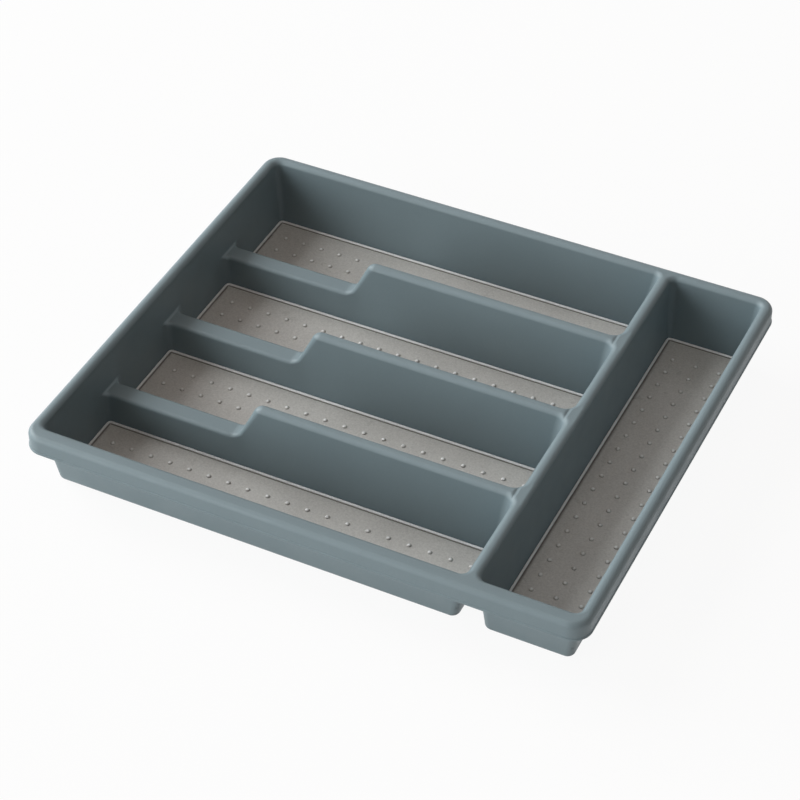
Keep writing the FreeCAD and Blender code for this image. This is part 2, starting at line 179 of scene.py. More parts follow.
def ridges(x, y, z):
    """Distance to the row dividers, negative inside them. They end inside the cross divider."""
    off_centre = np.min([np.abs(y - middle) for middle in RIDGES], axis=0)
    in_saddle = ease((SADDLE_END - x) / SADDLE_RUN)
    up_to_land = np.clip((z - FLOOR) / (LAND - FLOOR), 0, 1)
    swell = SADDLE_SPREAD * in_saddle * up_to_land
    faces = off_centre - DIVIDER_WIDTH / 2 - WALL_LEAN * depth_share(z) - swell
    return np.maximum(faces, x - ROW_END - RIDGE_ROOT)


print("back edge to row, at half height:", round(float(hollow(0.0, HALF_WIDTH, TOP / 2)), 2), "mm")

# %% [markdown]
# ## Dips in the dividers
# At the left end each divider drops to a low saddle, so that fingers can lift the cutlery. From the side this
# is an S: flat land, a hollow round, a steep slope and a full round at the top.
# The saddle is a little wider than the divider above it. The land runs into the left wall with a soft fillet,
# and the rounding of its edges fades out towards the wall, so that the wall itself stays flat.

# %% The dip and the whole upper surface
SLOPE_POINT = (-79.21, 31.62)
SLOPE_TILT = math.radians(65)
SLOPE_FOOT_ROUND = 4.6
EDGE_ROUND = 3.3
DIP_TOP_ROUND = 4.2
SADDLE_ROUND = 2.6
SADDLE_FADE = 2.2
SADDLE_FILLET = 1.6
RIM_LIFT = 6.0
FLOOR_FILLET = 0.4


def dip(x, z):
    """Distance to what is left of a divider in the dip, negative below the S."""
    slope = (z - SLOPE_POINT[1]) * math.cos(SLOPE_TILT) - (x - SLOPE_POINT[0]) * math.sin(SLOPE_TILT)
    return round_join(z - LAND, slope, SLOPE_FOOT_ROUND)


def upper_side(x, y, z):
    """Distance to walls and dividers seen from above, without the floor."""
    walls = -hollow(x, y, z)
    join = JOIN_AT_RIM + (JOIN_AT_FLOOR - JOIN_AT_RIM) * depth_share(z)
    plan = round_join(walls, ridges(x, y, z), join)
    topped = round_corner(plan, z - TOP, EDGE_ROUND)
    keep = round_join(dip(x, z), walls, SADDLE_FILLET)
    keep = round_corner(keep, z - TOP - RIM_LIFT * ease(walls / RIM_LIFT), EDGE_ROUND)
    rounding = SADDLE_ROUND + (DIP_TOP_ROUND - SADDLE_ROUND) * ease((z - LAND) / (TOP - LAND))
    return round_corner(topped, keep, rounding * ease(walls / SADDLE_FADE))


print("distance at the top of a saddle:", round(float(upper_side(-130.0, RIDGES[1], LAND)), 3))

# %% [markdown]
# ## One shell
# The tray is a thin shell, not a block: below the upper surface the plastic is about 2 mm thick, so every
# divider is hollow and open underneath. The rim turns down into a short skirt with a small proud lip.

# %% The shell as one distance
WALL = 2.0
FLOOR_THICKNESS = 1.8
SKIRT = 2.0
SKIRT_DEPTH = 13.0
RIM_ROUND = 3.8
TUB_EDGE_ROUND = 3.8
SKIRT_ROOT_FILLET = 1.0
SKIRT_EDGE_ROUND = 0.5
LIP_ROUND = 0.45
LIP_ROOT = 1.2
SKIRT_FOOT = TOP - SKIRT_DEPTH
LIP_MIDDLE = SKIRT_FOOT + LIP_HEIGHT / 2
LIP_EDGES = (-HALF_LENGTH, HALF_LENGTH, -HALF_WIDTH, HALF_WIDTH)
RIM_EDGES = [edge - math.copysign(LIP_PROUD, edge) for edge in LIP_EDGES]


def tray(x, y, z):
    """Distance to the moulded shell, negative inside the plastic."""
    upper = upper_side(x, y, z)
    outline = rounded_plan(x, y, RIM_EDGES, RIM_CORNER)
    block = np.maximum(
        round_join(upper, z - FLOOR, FLOOR_FILLET),
        round_corner(outline, z - TOP, RIM_ROUND),
    )
    below = round_join(upper + WALL, z - FLOOR + FLOOR_THICKNESS, TUB_EDGE_ROUND)
    inside_skirt = round_join(outline + SKIRT, z - SKIRT_FOOT, SKIRT_EDGE_ROUND)
    shell = np.maximum(block, -round_corner(below, inside_skirt, SKIRT_ROOT_FILLET))
    lip = round_corner(outline - LIP_PROUD, np.abs(z - LIP_MIDDLE) - LIP_HEIGHT / 2, LIP_ROUND)
    return np.minimum(shell, np.maximum(lip, -outline - LIP_ROOT))


print("distance inside the floor:", round(float(tray(0.0, RIDGES[0] + 40, FLOOR - FLOOR_THICKNESS / 2)), 2))

# %% [markdown]
# ## From distance to mesh
# A surface net turns the distance into faces: the space is cut into boxes, each box that the surface crosses
# gets one point, and points of neighbouring boxes join into quads. The boxes are small only where the shell
# bends or is thin, and long over the flats. Each point is then pushed onto the surface itself.

# %% Grid lines, close together where the shell bends


def spread(*stretches):
    """Grid lines from stretches of (start, stop, step)."""
    lines = [np.linspace(a, b, math.ceil((b - a) / step), endpoint=False) for a, b, step in stretches]
    return np.concatenate([*lines, [stretches[-1][1]]])


FINE, MIDDLING, LONG = 0.4, 0.9, 7.5
REACH = 0.8
EDGE_BAND = 1.6


def across_rim(low, high, stretches):
    """Lines across the tray: fine at both outer faces, then the stretches between them."""
    first, last = stretches[0][0], stretches[-1][1]
    return spread(
        (low - REACH, low + EDGE_BAND, FINE), (low + EDGE_BAND, first, MIDDLING),
        *stretches,
        (last, high - EDGE_BAND, MIDDLING), (high - EDGE_BAND, high + REACH, FINE),
    )


BEND = 10.5
between_ridges = []
for low_ridge, high_ridge in zip(RIDGES[::-1], RIDGES[-2::-1]):
    between_ridges.append((low_ridge - BEND, low_ridge + BEND, MIDDLING))
    between_ridges.append((low_ridge + BEND, high_ridge - BEND, LONG))
# From the left: saddles, slopes of the dips, rows, cross divider and side compartment
lines_x = across_rim(-HALF_LENGTH, HALF_LENGTH, [
    (-172, -94, LONG), (-94, -58, 1.5), (-58, 90, LONG), (90, 124, MIDDLING), (124, 165, LONG),
])
# From the front: the front row, then dividers and rows in turn
lines_y = across_rim(-HALF_WIDTH, HALF_WIDTH, [
    (-136, RIDGES[-1] - BEND, LONG), *between_ridges,
    (RIDGES[0] - BEND, RIDGES[0] + BEND, MIDDLING), (RIDGES[0] + BEND, 148, LONG),
])
# From below: floor, wall, land of the dips, wall, lip of the skirt, wall and rim
lines_z = spread(
    (0.4, 5.2, 0.5), (5.2, 23.2, 3.6), (23.2, 34.6, 0.95), (34.6, 39.2, 2.3),
    (39.2, 42.0, 0.35), (42.0, 46.6, 2.3), (46.6, TOP + FINE, 0.57),
)
print("grid lines:", len(lines_x), len(lines_y), len(lines_z))

# %% Surface net
NET_ROUNDS = 5
LEAST_SLOPE = 0.05


def slope_of(field, points, step=0.01):
    """How fast the distance grows along each axis, at each point."""
    slopes = []
    for axis in np.eye(3) * step:
        slopes.append((field(*(points + axis).T) - field(*(points - axis).T)) / (2 * step))
    return np.array(slopes).T


def surface_net(field, lines):
    """Points on the surface field = 0 and the quads that join them."""
    grid = np.meshgrid(*lines, indexing="ij")
    value = field(*grid)
    inside = value < 0
    corners = [(i, j, k) for i in (0, 1) for j in (0, 1) for k in (0, 1)]
    cells = tuple(n - 1 for n in value.shape)

    def at(array, corner):
        return array[tuple(slice(c, c + n) for c, n in zip(corner, cells))]

    filled = sum(at(inside, corner).astype(np.int8) for corner in corners)
    crossed = (filled > 0) & (filled < len(corners))
    place = np.argwhere(crossed)
    number = np.full(cells, -1)
    number[crossed] = np.arange(len(place))
    total = np.zeros((len(place), 3))
    count = np.zeros(len(place))
    nodes = np.stack(grid, axis=-1)
    for first in corners:
        for axis in range(3):
            if first[axis]:
                continue
            last = tuple(c + (n == axis) for n, c in enumerate(first))
            a = value[tuple((place + first).T)]
            b = value[tuple((place + last).T)]
            cut = (a < 0) != (b < 0)
            share = np.where(cut, a / np.where(cut, a - b, 1), 0)[:, None]
            start, stop = nodes[tuple((place + first).T)], nodes[tuple((place + last).T)]
            total += np.where(cut[:, None], start + (stop - start) * share, 0)
            count += cut
    points = total / count[:, None]
    low, high = nodes[tuple(place.T)], nodes[tuple((place + 1).T)]
    for _ in range(NET_ROUNDS):
        slope = slope_of(field, points)
        step = field(*points.T) / np.maximum((slope * slope).sum(1), LEAST_SLOPE)
        points = np.clip(points - step[:, None] * slope, low, high)
    quads = []
    for axis in range(3):
        u, v = (axis + 1) % 3, (axis + 2) % 3
        here = [slice(1, -1)] * 3
        here[axis] = slice(None, -1)
        there = list(here)
        there[axis] = slice(1, None)
        a, b = inside[tuple(here)], inside[tuple(there)]
        edge = np.argwhere(a != b)
        outward = a[tuple(edge.T)]
        edge = edge + [n != axis for n in range(3)]
        ring = []
        for du, dv in ((0, 0), (-1, 0), (-1, -1), (0, -1)):
            cell = edge.copy()
            cell[:, u] += du
            cell[:, v] += dv
            ring.append(number[tuple(cell.T)])
        ring = np.array(ring).T
        ring[~outward] = ring[~outward, ::-1]
        quads.append(ring)
    return points, np.concatenate(quads)


shell_points, shell_quads = surface_net(tray, (lines_x, lines_y, lines_z))
print("surface net:", len(shell_points), "points and", len(shell_quads), "quads")

# %% [markdown]
# ## The shell as a piece
# The flats need no inner edges, so faces that lie in one plane are merged into one. Every remaining point
# gets the true direction of the surface as its shading normal, which makes even a coarse rounding shade
# smoothly.

# %% Merge the flats and set the shading normals
FLAT_ANGLE = math.radians(0.4)
LEAST_LENGTH = 0.01


def new_piece(name, mesh):
    """An object for a mesh, linked into the scene."""
    piece = bpy.data.objects.new(name, mesh)
    bpy.context.scene.collection.objects.link(piece)
    return piece


def shell_mesh(name, points, quads):
    """The net as a mesh with merged flats and true normals."""
    mesh = bpy.data.meshes.new(name)
    mesh.from_pydata(points * MM, [], quads)
    work = bmesh.new()
    work.from_mesh(mesh)
    bmesh.ops.dissolve_limit(work, angle_limit=FLAT_ANGLE, verts=work.verts, edges=work.edges)
    bmesh.ops.triangulate(work, faces=[face for face in work.faces if len(face.verts) > 4])
    work.to_mesh(mesh)
    work.free()
    mesh.shade_smooth()
    left = np.zeros(len(mesh.vertices) * 3)
    mesh.vertices.foreach_get("co", left)
    slope = slope_of(tray, left.reshape(-1, 3) / MM)
    slope /= np.maximum(np.linalg.norm(slope, axis=1), LEAST_LENGTH)[:, None]
    mesh.normals_split_custom_set_from_vertices(slope)
    return mesh


tray_shell = new_piece("tray_shell", shell_mesh("tray_shell", shell_points, shell_quads))
tray_shell.data.calc_loop_triangles()
print("tray shell:", len(tray_shell.data.loop_triangles), "triangles")

# %% [markdown]
# ## Effects shared by the finishes
# Moulded plastic and moulded rubber both carry the fine grain of the steel mould, and both vary a little in
# tone from handling. Each effect is one node group with its own inputs, so every finish can use it at its
# own scale. The patterns read Object coordinates, which are metres in the tray's own frame.

# %% Node groups for grain and tone


def new_group(name, inputs, outputs):
    """A node group with number inputs and outputs, and its two end nodes."""
    group = bpy.data.node_groups.new(name, "ShaderNodeTree")
    for socket, value in inputs.items():
        made = group.interface.new_socket(socket, in_out="INPUT", socket_type="NodeSocketFloat")
        made.default_value = value
    for socket in outputs:
        group.interface.new_socket(socket, in_out="OUTPUT", socket_type="NodeSocketFloat")
    return group, group.nodes.new("NodeGroupInput"), group.nodes.new("NodeGroupOutput")


def add(tree, kind, links=(), **settings):
    """A new node with its settings, its input values and its links."""
    node = tree.nodes.new(kind)
    for key, value in settings.items():
        setattr(node, key, value)
    for socket, source in links:
        if hasattr(source, "links"):
            tree.links.new(source, node.inputs[socket])
        else:
            node.inputs[socket].default_value = source
    return node


def mould_grain():
    """The fine matt grain of a spark-eroded mould: a height for bumps and a patchy gloss."""
    group, given, result = new_group(
        "mould grain", {"Grain per metre": 2200.0, "Gloss patches per metre": 60.0}, ["Height", "Gloss"]
    )
    place = add(group, "ShaderNodeTexCoord").outputs["Object"]
    grain = add(group, "ShaderNodeTexNoise", [
        ("Vector", place), ("Scale", given.outputs["Grain per metre"]), ("Detail", 2.0), ("Roughness", 0.6),
    ])
    pits = add(group, "ShaderNodeTexVoronoi", [
        ("Vector", place), ("Scale", given.outputs["Grain per metre"]),
    ])
    height = add(group, "ShaderNodeMath", [
        (0, grain.outputs[0]), (1, pits.outputs["Distance"]),
    ], operation="ADD")
    patches = add(group, "ShaderNodeTexNoise", [
        ("Vector", place), ("Scale", given.outputs["Gloss patches per metre"]), ("Detail", 3.0),
    ])
    group.links.new(height.outputs[0], result.inputs["Height"])
    group.links.new(patches.outputs[0], result.inputs["Gloss"])
    return group


def tone_drift():
    """Slow changes of tone from flow and handling, with a faint fine speckle in it."""
    group, given, result = new_group(
        "tone drift", {"Clouds per metre": 14.0, "Speckle per metre": 900.0, "Speckle share": 0.25}, ["Tone"]
    )
    place = add(group, "ShaderNodeTexCoord").outputs["Object"]
    clouds = add(group, "ShaderNodeTexNoise", [
        ("Vector", place), ("Scale", given.outputs["Clouds per metre"]), ("Detail", 4.0),
    ])
    speckle = add(group, "ShaderNodeTexNoise", [
        ("Vector", place), ("Scale", given.outputs["Speckle per metre"]), ("Detail", 1.0),
    ])
    tone = add(group, "ShaderNodeMix", [
        ("Factor", given.outputs["Speckle share"]), ("A", clouds.outputs[0]), ("B", speckle.outputs[0]),
    ])
    group.links.new(tone.outputs[0], result.inputs["Tone"])
    return group


GRAIN, DRIFT = mould_grain(), tone_drift()
print("groups:", GRAIN.name, "and", DRIFT.name)

# %% [markdown]
# ## Finishes
# The shell is satin polypropylene: a blue-grey body colour, a broad soft highlight and a very fine grain.
# The mats are warm grey rubber, lighter, a little glossier and finely speckled, and the feet are a darker
# and duller rubber.
# One recipe makes all three from their own colours and numbers, because they differ only in degree.

# %% Materials
# Sockets of a mix node that mixes two colours
FIRST_COLOUR, SECOND_COLOUR, MIXED_COLOUR = 6, 7, 2
GLOSS_LOW, GLOSS_HIGH = 0.3, 0.7
BUMP_STRENGTH = 0.35


def srgb(red, green, blue):
    """A colour as a painter reads it, from 0 to 255, turned into light."""
    shares = [c / 255 for c in (red, green, blue)]
    return (*[s / 12.92 if s <= 0.04045 else ((s + 0.055) / 1.055) ** 2.4 for s in shares], 1.0)


def moulded(name, dark, light, roughness, grain, clouds, speckle, depth, specular):
    """A moulded finish between two tones, with grain in its bump and patches in its gloss."""
    material = bpy.data.materials.new(name)
    material.use_nodes = True
    tree = material.node_tree
    shader = tree.nodes["Principled BSDF"]
    shader.inputs["Specular IOR Level"].default_value = specular
    fine = add(tree, "ShaderNodeGroup", node_tree=GRAIN)
    fine.inputs["Grain per metre"].default_value = grain
    drift = add(tree, "ShaderNodeGroup", node_tree=DRIFT)
    drift.inputs["Clouds per metre"].default_value = clouds
    drift.inputs["Speckle share"].default_value = speckle
    tone = add(tree, "ShaderNodeMix", [
        ("Factor", drift.outputs["Tone"]), (FIRST_COLOUR, dark), (SECOND_COLOUR, light),
    ], data_type="RGBA")
    gloss = add(tree, "ShaderNodeMapRange", [
        ("Value", fine.outputs["Gloss"]), ("From Min", GLOSS_LOW), ("From Max", GLOSS_HIGH),
        ("To Min", roughness[0]), ("To Max", roughness[1]),
    ])
    bump = add(tree, "ShaderNodeBump", [
        ("Height", fine.outputs["Height"]), ("Strength", BUMP_STRENGTH), ("Distance", depth),
    ])
    tree.links.new(tone.outputs[MIXED_COLOUR], shader.inputs["Base Color"])
    tree.links.new(gloss.outputs[0], shader.inputs["Roughness"])
    tree.links.new(bump.outputs[0], shader.inputs["Normal"])
    return material


# The mesh attribute that carries painted light: a highlight above 0 and shade below 0
PAINTED_LIGHT = "painted highlight and shade"


def paint_highlight_and_shade(material, light, dark):
    """Paint a highlight into a finish where the mesh's mark is above 0, and paint shade where it is below 0.
    """
    tree = material.node_tree
    shader = tree.nodes["Principled BSDF"]
    body = shader.inputs["Base Color"].links[0].from_socket
    mark = add(tree, "ShaderNodeAttribute", attribute_name=PAINTED_LIGHT).outputs["Fac"]
    painted_highlight = add(tree, "ShaderNodeMix", [
        ("Factor", mark), (FIRST_COLOUR, body), (SECOND_COLOUR, light),
    ], data_type="RGBA").outputs[MIXED_COLOUR]
    groove = add(tree, "ShaderNodeMath", [(0, mark), (1, -1.0)], operation="MULTIPLY").outputs[0]
    painted_shade = add(tree, "ShaderNodeMix", [
        ("Factor", groove), (FIRST_COLOUR, painted_highlight), (SECOND_COLOUR, dark),
    ], data_type="RGBA").outputs[MIXED_COLOUR]
    tree.links.new(painted_shade, shader.inputs["Base Color"])


satin_plastic = moulded(
    "satin blue-grey plastic", srgb(112, 128, 134), srgb(127, 143, 149),
    roughness=(0.44, 0.54), grain=2200.0, clouds=14.0, speckle=0.25, depth=0.00004, specular=0.5,
)
mat_rubber = moulded(
    "warm grey mat rubber", srgb(157, 156, 153), srgb(218, 217, 213),
    roughness=(0.27, 0.37), grain=1800.0, clouds=20.0, speckle=0.6, depth=0.00005, specular=0.5,
)
# Painted highlight on the mats' beads and dot tops, painted shade in the grooves and around the dots
paint_highlight_and_shade(mat_rubber, srgb(238, 240, 241), srgb(118, 115, 112))
foot_rubber = moulded(
    "dark foot rubber", srgb(74, 75, 76), srgb(84, 85, 86),
    roughness=(0.6, 0.75), grain=1500.0, clouds=30.0, speckle=0.25, depth=0.00005, specular=0.35,
)
tray_shell.data.materials.append(satin_plastic)
print("finishes:", satin_plastic.name, "|", mat_rubber.name, "|", foot_rubber.name)

# %% [markdown]
# ## Mats
# A mat is a flat rubber sheet with a raised bead along its edge, then a groove and a low second ridge, which
# show in the photograph as a light line with a dark and a faint light line beside it. The sheet is a stack
# of rounded rectangles, each a little further in, so its profile is one short list of steps. The third
# number of a step is 1 on the bead, which gets a highlight painted lighter than the sheet, and below 0 in the
# groove, which gets shade painted darker. It is kept as an attribute of the mesh.

# %% The sheet of a mat
SHEET = 1.2
BEAD = 0.5
BEAD_WIDTH = 1.6
MAT_CORNER = FOOT_CORNER - MAT_CLEARANCE
CORNER_STEPS = 6
LEAST_CORNER = 0.3
SHEET_PROFILE = [
    (0.0, 0.0, 0), (0.0, SHEET + 0.1, 1), (0.12, SHEET + 0.36, 1), (0.4, SHEET + BEAD, 1),
    (0.8, SHEET + BEAD, 1), (1.15, SHEET + 0.36, 1), (1.4, SHEET - 0.1, 1),
    (BEAD_WIDTH, SHEET - 0.6, -1), (2.3, SHEET - 0.6, -1), (2.9, SHEET - 0.1, -0.4),
    (3.5, SHEET + 0.12, 0), (4.1, SHEET + 0.12, 0), (5.0, SHEET, 0),
]


def rounded_loop(edges, inset, radius):
    """Points around a rounded rectangle, counter-clockwise."""
    left, right, front, back = (e + s * inset for e, s in zip(edges, (1, -1, 1, -1)))
    radius = max(radius - inset, LEAST_CORNER)
    centres = ((right - radius, back - radius), (left + radius, back - radius),
               (left + radius, front + radius), (right - radius, front + radius))
    loop = []
    for turn, (x, y) in enumerate(centres):
        for step in range(CORNER_STEPS + 1):
            angle = math.pi / 2 * (turn + step / CORNER_STEPS)
            loop.append((x + radius * math.cos(angle), y + radius * math.sin(angle)))
    return loop


def sheet_mesh(name, edges, floor):
    """The rounded sheet of a mat, with the profile of its edge and the marks on it."""
    work = bmesh.new()
    loops = []
    for inset, height, _ in SHEET_PROFILE:
        loop = rounded_loop(edges, inset, MAT_CORNER)
        loops.append([work.verts.new((x * MM, y * MM, (floor + height) * MM)) for x, y in loop])
    for low, high in zip(loops, loops[1:]):
        for n in range(len(low)):
            m = (n + 1) % len(low)
            work.faces.new((low[n], low[m], high[m], high[n]))
    work.faces.new(loops[-1])
    work.faces.new(loops[0][::-1])
    mesh = bpy.data.meshes.new(name)
    work.to_mesh(mesh)
    work.free()
    # Painted highlight on the bead and painted shade in the groove, from the third number of each step
    marks = mesh.attributes.new(PAINTED_LIGHT, "FLOAT", "POINT")
    marks.data.foreach_set("value", np.repeat([float(step[2]) for step in SHEET_PROFILE], len(loops[0])))
    mesh.materials.append(mat_rubber)
    return mesh


print("a mat's edge has", len(SHEET_PROFILE), "steps over", SHEET_PROFILE[-1][0], "mm")

# %% [markdown]
# ## Dots on the mats
# The dots are moulded on in straight rows, so this is a case for Geometry Nodes: a grid of points, and one
# small dome on each. A cylinder with a few rings becomes the dome when each ring moves onto a quarter
# ellipse.
# The same mark as on the bead paints a highlight on a dot's top and paints shade around its base.
# The tree has named inputs for the counts, spans and sizes, and makes real faces at its end.

# %% The tree that sets the dots
DOME_SIDES = 12
DOME_RINGS = 4
DOME_START, DOME_STOP = math.radians(-14), math.radians(80)
# Painted shade at the base of a dot and painted highlight at its top
PAINTED_SHADE_AT_BASE, PAINTED_HIGHLIGHT_AT_TOP = -0.9, 0.9


def dot_tree():
    """The tree that adds a grid of dots to a sheet."""
    tree = bpy.data.node_groups.new("raised dots", "GeometryNodeTree")
    tree.interface.new_socket("Sheet", in_out="INPUT", socket_type="NodeSocketGeometry")
    for name, kind in (
        ("Dots along X", "Int"), ("Dots along Y", "Int"), ("Span X", "Float"), ("Span Y", "Float"),
        ("Middle", "Vector"), ("Dot radius", "Float"), ("Dot height", "Float"), ("Finish", "Material"),
    ):
        tree.interface.new_socket(name, in_out="INPUT", socket_type="NodeSocket" + kind)
    tree.interface.new_socket("Mat", in_out="OUTPUT", socket_type="NodeSocketGeometry")
    given = tree.nodes.new("NodeGroupInput").outputs

    def figure(operation, *values):
        links = list(enumerate(values))
        return add(tree, "ShaderNodeMath", links, operation=operation).outputs[0]

    grid = add(tree, "GeometryNodeMeshGrid", [
        ("Size X", given["Span X"]), ("Size Y", given["Span Y"]),
        ("Vertices X", given["Dots along X"]), ("Vertices Y", given["Dots along Y"]),
    ])
    places = add(tree, "GeometryNodeTransform", [
        ("Geometry", grid.outputs[0]), ("Translation", given["Middle"]),
    ])
    drum = add(tree, "GeometryNodeMeshCylinder", [
        ("Vertices", DOME_SIDES), ("Side Segments", DOME_RINGS), ("Radius", 1.0), ("Depth", 1.0),
    ])
    spot = add(tree, "ShaderNodeSeparateXYZ", [(0, add(tree, "GeometryNodeInputPosition").outputs[0])])
    share = figure("ADD", spot.outputs[2], 0.5)
    angle = figure("MULTIPLY_ADD", share, DOME_STOP - DOME_START, DOME_START)
    radius = figure("MULTIPLY", figure("COSINE", angle), given["Dot radius"])
    height = figure("MULTIPLY", figure("SINE", angle), given["Dot height"])
    ring = add(tree, "ShaderNodeCombineXYZ", [
        (0, figure("MULTIPLY", spot.outputs[0], radius)),
        (1, figure("MULTIPLY", spot.outputs[1], radius)),
        (2, height),
    ])
    # The dome's painted light: shade at its base, rising to a highlight at its top
    painted_light_share = figure("MULTIPLY_ADD", share, PAINTED_HIGHLIGHT_AT_TOP - PAINTED_SHADE_AT_BASE, PAINTED_SHADE_AT_BASE)
    painted_dome = add(tree, "GeometryNodeStoreNamedAttribute", [
        ("Geometry", drum.outputs[0]), ("Name", PAINTED_LIGHT), ("Value", painted_light_share),
    ], data_type="FLOAT", domain="POINT")
    dome = add(tree, "GeometryNodeSetPosition", [
        ("Geometry", painted_dome.outputs[0]), ("Position", ring.outputs[0]),
    ])
    dots = add(tree, "GeometryNodeInstanceOnPoints", [
        ("Points", places.outputs[0]), ("Instance", dome.outputs[0]),
    ])
    both = add(tree, "GeometryNodeJoinGeometry")
    tree.links.new(given["Sheet"], both.inputs[0])
    tree.links.new(dots.outputs[0], both.inputs[0])
    real = add(tree, "GeometryNodeRealizeInstances", [("Geometry", both.outputs[0])])
    dressed = add(tree, "GeometryNodeSetMaterial", [
        ("Geometry", real.outputs[0]), ("Material", given["Finish"]),
    ])
    tree.links.new(dressed.outputs[0], tree.nodes.new("NodeGroupOutput").inputs[0])
    return tree


DOTS = dot_tree()
dot_inputs = {item.name: item.identifier for item in DOTS.interface.items_tree if item.in_out == "INPUT"}
print("dot inputs:", ", ".join(dot_inputs))

# %% Make the five mats
DOT_RADIUS = 1.65
DOT_HEIGHT = 1.0
SMOOTH_ANGLE = math.radians(50)
ROW_DOTS, SIDE_DOTS = (19, 3), (3, 20)
ROW_LEFT_MARGIN, ROW_RIGHT_MARGIN, ROW_BACK_MARGIN = 13.9, 15.2, 17.9
ROW_DOT_STEP = 14.35
SIDE_MARGINS = (10.7, 13.7, 17.4, 21.0)


def dot_field(mouth, margins):
    """Left, right, front and back line of dots, inside the floor that even walls would leave."""
    return [edge + sign * (WALL_LEAN + gap) for edge, sign, gap in zip(mouth, (1, -1, 1, -1), margins)]


def make_mat(name, node, counts, field):
    """A sheet with its dots, turned into one plain mesh."""
    edges = mat_outline(node)
    left, right, front, back = field
    draft = new_piece(name, sheet_mesh(name, edges[:4], edges[4]))
    setter = draft.modifiers.new("dots", "NODES")
    setter.node_group = DOTS
    for label, value in (
        ("Dots along X", counts[0]), ("Dots along Y", counts[1]),
        ("Span X", (right - left) * MM), ("Span Y", (back - front) * MM),
        ("Middle", ((left + right) / 2 * MM, (front + back) / 2 * MM, (edges[4] + SHEET) * MM)),
        ("Dot radius", DOT_RADIUS * MM), ("Dot height", DOT_HEIGHT * MM), ("Finish", mat_rubber),
    ):
        setter[dot_inputs[label]] = value
    ready = draft.evaluated_get(bpy.context.evaluated_depsgraph_get())
    mesh = bpy.data.meshes.new_from_object(ready)
    draft.modifiers.remove(setter)
    draft.data = mesh
    mesh.name = name
    mesh.shade_smooth()
    mesh.set_sharp_from_angle(angle=SMOOTH_ANGLE)
    print(name, len(mesh.polygons), "faces, finishes", [m and m.name for m in mesh.materials])
    return draft


mats = {}
first_x = FEET_OF_TUBS[0][0] + ROW_LEFT_MARGIN
last_x = ROW_END - WALL_LEAN - ROW_RIGHT_MARGIN
for node, name in zip(ROW_MATS, ("back_row_mat", "second_row_mat", "third_row_mat", "front_row_mat")):
    back_y = mat_outline(node)[3] + MAT_CLEARANCE - ROW_BACK_MARGIN
    front_y = back_y - ROW_DOT_STEP * (ROW_DOTS[1] - 1)
    mats[node] = make_mat(name, node, ROW_DOTS, (first_x, last_x, front_y, back_y))
mats[SIDE_MAT] = make_mat("side_mat", SIDE_MAT, SIDE_DOTS, dot_field(MOUTHS_OF_TUBS[1], SIDE_MARGINS))

# %% [markdown]
# ## Feet
# Six small rubber buttons under the outer tubs keep the tray from sliding. Nobody sees them from above, so
# they are turned shapes with a rounded edge and a slightly dished face, made from one profile.

# %% Turn the feet
FOOT_SIDES = 40
FOOT_PROFILE = [
    (0.0, 0.12), (3.8, 0.12), (4.3, 0.0), (5.9, 0.0), (6.3, 0.12), (6.5, 0.4), (6.5, 1.0), (0.0, 1.0),
]


def turned_foot(name, node):
    """A foot turned from the profile, around the middle of its CAD node."""
    low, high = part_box(node)
    middle = (low + high) / 2
    work = bmesh.new()
    rings = []
    for radius, height in FOOT_PROFILE:
        sides = FOOT_SIDES if radius else 1
        ring = []
        for turn in (2 * math.pi * n / sides for n in range(sides)):
            x = middle.x + radius * MM * math.cos(turn)
            y = middle.y + radius * MM * math.sin(turn)
            ring.append(work.verts.new((x, y, height * MM)))
        rings.append(ring)
    for low_ring, high_ring in zip(rings, rings[1:]):
        for n in range(FOOT_SIDES):
            m = (n + 1) % FOOT_SIDES
            if len(low_ring) == 1:
                corners = (low_ring[0], high_ring[m], high_ring[n])
            elif len(high_ring) == 1:
                corners = (low_ring[n], low_ring[m], high_ring[0])
            else:
                corners = (low_ring[n], low_ring[m], high_ring[m], high_ring[n])
            work.faces.new(corners)
    mesh = bpy.data.meshes.new(name)
    work.to_mesh(mesh)
    work.free()
    mesh.shade_smooth()
    mesh.set_sharp_from_angle(angle=SMOOTH_ANGLE)
    mesh.materials.append(foot_rubber)
    return new_piece(name, mesh)


feet = {node: turned_foot("rubber_" + node, node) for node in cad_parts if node.startswith("foot_")}
print("feet:", ", ".join(sorted(piece.name for piece in feet.values())))

# %% [markdown]
# ## Tie the pieces to the frame
# The tray has no moving parts, so every piece rides on the one body. Each piece stands for its CAD node,
# which is then hidden.

# %% Ride and replace


def settle(piece, node):
    """Tie a piece to the body and hide the CAD node it stands for."""
    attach(piece, "root")
    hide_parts(node)


settle(tray_shell, "tray_body")
for node, piece in mats.items():
    settle(piece, node)
for node, piece in feet.items():
    settle(piece, node)
print("pieces:", 1 + len(mats) + len(feet))

# %% [markdown]
# ## Studio
# The photograph was taken on white. A large soft light from the left leaves the left ends of the rows and the
# tall compartment in shade, a low light from the front fills the faces of the dividers, and a warm light from
# above reaches down to the mats. The floor is white to the camera and keeps a faint shadow.

# %% Floor and world
FLOOR_REACH = 6.0
FLOOR_PAINT = (0.85, 0.85, 0.85, 1.0)
WHITE = (1.0, 1.0, 1.0, 1.0)
WHITE_SHARE = 0.93
ROOM_COLOUR = (1.0, 0.82, 0.74, 1.0)
ROOM_STRENGTH = 0.14


def seen_rays(tree):
    """1 for what the camera sees, also in reflections and through glass, and 0 for what lights the tray."""
    path = add(tree, "ShaderNodeLightPath").outputs
    seen = path["Is Camera Ray"]
    for kind in ("Is Glossy Ray", "Is Transmission Ray"):
        seen = add(tree, "ShaderNodeMath", [(0, seen), (1, path[kind])], operation="MAXIMUM").outputs[0]
    return seen


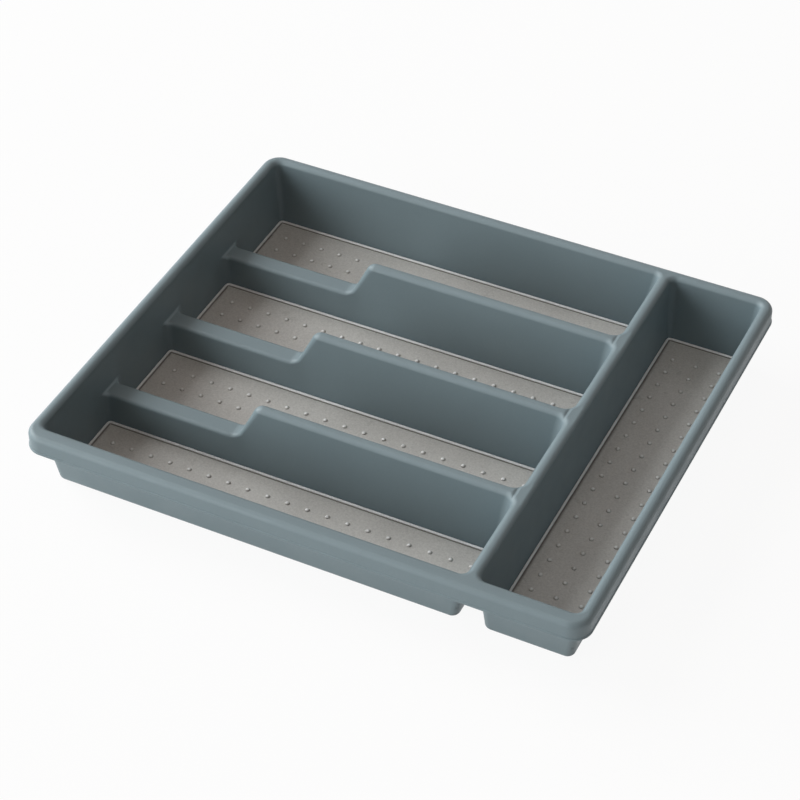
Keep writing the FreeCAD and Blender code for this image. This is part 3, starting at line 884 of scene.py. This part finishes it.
def backdrop(name, white_share):
    """Mostly white to the camera, to reflections and through glass, and a plain pale floor to the light."""
    material = bpy.data.materials.new(name)
    material.use_nodes = True
    tree = material.node_tree
    tree.nodes.clear()
    seen = seen_rays(tree)
    share = add(tree, "ShaderNodeMath", [(0, seen), (1, white_share)], operation="MULTIPLY").outputs[0]
    paint = add(tree, "ShaderNodeBsdfDiffuse", [("Color", FLOOR_PAINT)])
    glow = add(tree, "ShaderNodeEmission", [("Color", WHITE), ("Strength", 1.0)])
    mix = add(tree, "ShaderNodeMixShader", [(0, share), (1, paint.outputs[0]), (2, glow.outputs[0])])
    out = add(tree, "ShaderNodeOutputMaterial")
    tree.links.new(mix.outputs[0], out.inputs[0])
    return material


floor_mesh = bpy.data.meshes.new("floor")
floor_corners = [(x * FLOOR_REACH, y * FLOOR_REACH, 0) for x, y in ((-1, -1), (1, -1), (1, 1), (-1, 1))]
floor_mesh.from_pydata(floor_corners, [], [(0, 1, 2, 3)])
floor_mesh.materials.append(backdrop("white floor", WHITE_SHARE))
floor = new_piece("floor", floor_mesh)

world = bpy.data.worlds.new("soft room")
bpy.context.scene.world = world
world.use_nodes = True
sky = world.node_tree
sky.nodes.clear()
room = add(sky, "ShaderNodeBackground", [("Color", ROOM_COLOUR), ("Strength", ROOM_STRENGTH)])
white = add(sky, "ShaderNodeBackground", [("Color", WHITE), ("Strength", 1.0)])
choice = add(sky, "ShaderNodeMixShader", [(0, seen_rays(sky)), (1, room.outputs[0]), (2, white.outputs[0])])
sky.links.new(choice.outputs[0], add(sky, "ShaderNodeOutputWorld").inputs[0])
print("floor and room are white")

# %% Lamps
LAMP_DISTANCE = 4.4


def from_around(azimuth, elevation):
    """The direction in which something stands, seen from the tray: azimuth 0 is the front, 90 the right."""
    a, e = math.radians(azimuth), math.radians(elevation)
    return Vector((math.sin(a) * math.cos(e), -math.cos(a) * math.cos(e), math.sin(e)))


def soft_lamp(name, azimuth, elevation, size, power, colour):
    """A square lamp of a size in metres and a power in watts that looks at the tray."""
    lamp = bpy.data.lights.new(name, "AREA")
    lamp.shape = "SQUARE"
    lamp.size = size
    lamp.energy = power
    lamp.color = colour
    holder = bpy.data.objects.new(name, lamp)
    bpy.context.scene.collection.objects.link(holder)
    way = from_around(azimuth, elevation)
    holder.location = way * LAMP_DISTANCE
    holder.rotation_euler = (-way).to_track_quat("-Z", "Y").to_euler()


soft_lamp("key from the left", azimuth=-92, elevation=32, size=3.5, power=202, colour=(0.97, 0.99, 1.0))
soft_lamp("warm light from above", azimuth=0, elevation=89, size=2.0, power=17, colour=(1.0, 0.9, 0.8))
soft_lamp("low front light", azimuth=-35, elevation=12, size=3.0, power=126, colour=(0.95, 1.0, 1.0))

# %% Camera
AIM = Vector((-0.01527, 0.01535, 0.0045))
DISTANCE = 1.585
VIEW_AZIMUTH, VIEW_ELEVATION = 25.97, 41.75
LENS, SENSOR = 108.83, 36.0
camera_data = bpy.data.cameras.new("camera")
camera_data.lens = LENS
camera_data.sensor_width = SENSOR
camera = bpy.data.objects.new("camera", camera_data)
bpy.context.scene.collection.objects.link(camera)
way = from_around(VIEW_AZIMUTH, VIEW_ELEVATION)
camera.location = AIM + way * DISTANCE
camera.rotation_euler = (-way).to_track_quat("-Z", "Y").to_euler()
bpy.context.scene.camera = camera
bpy.context.scene.view_settings.view_transform = "Standard"
print("camera at", [round(v, 3) for v in camera.location])
